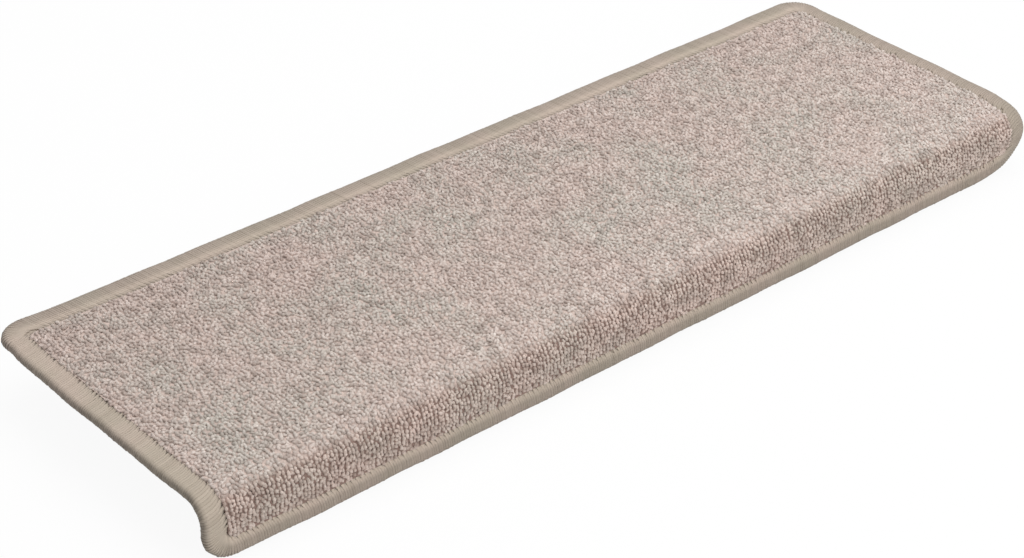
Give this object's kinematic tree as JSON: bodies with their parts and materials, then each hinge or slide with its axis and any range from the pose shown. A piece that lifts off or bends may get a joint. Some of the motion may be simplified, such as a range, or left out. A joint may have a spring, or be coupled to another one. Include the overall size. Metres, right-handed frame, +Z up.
{
  "type": "anti slip stair tread mat",
  "caption": "Loop pile carpet mat for one stair tread, moulded down over the nose, with a sewn yarn binding and a thin anti slip backing.",
  "frame": {"origin": "centre of the flat underside of the anti slip backing, which lies on the stair", "axes": "+X along the width of the stair, +Y towards the riser behind the mat, so the nose is at -Y, and +Z up out of the tread"},
  "size_m": [0.65, 0.2111, 0.0445],
  "materials": {
    "loop_pile": "matte heathered loop pile, pinkish beige with greyish beige flecks",
    "binding_yarn": "matte beige yarn, wound closely over the edge",
    "backing_rubber": "matte, finely textured, grippy"
  },
  "bodies": {
    "root": {"carpet_tread": "loop_pile", "edge_binding": "binding_yarn", "anti_slip_backing": "backing_rubber"}
  },
  "joints": []
}
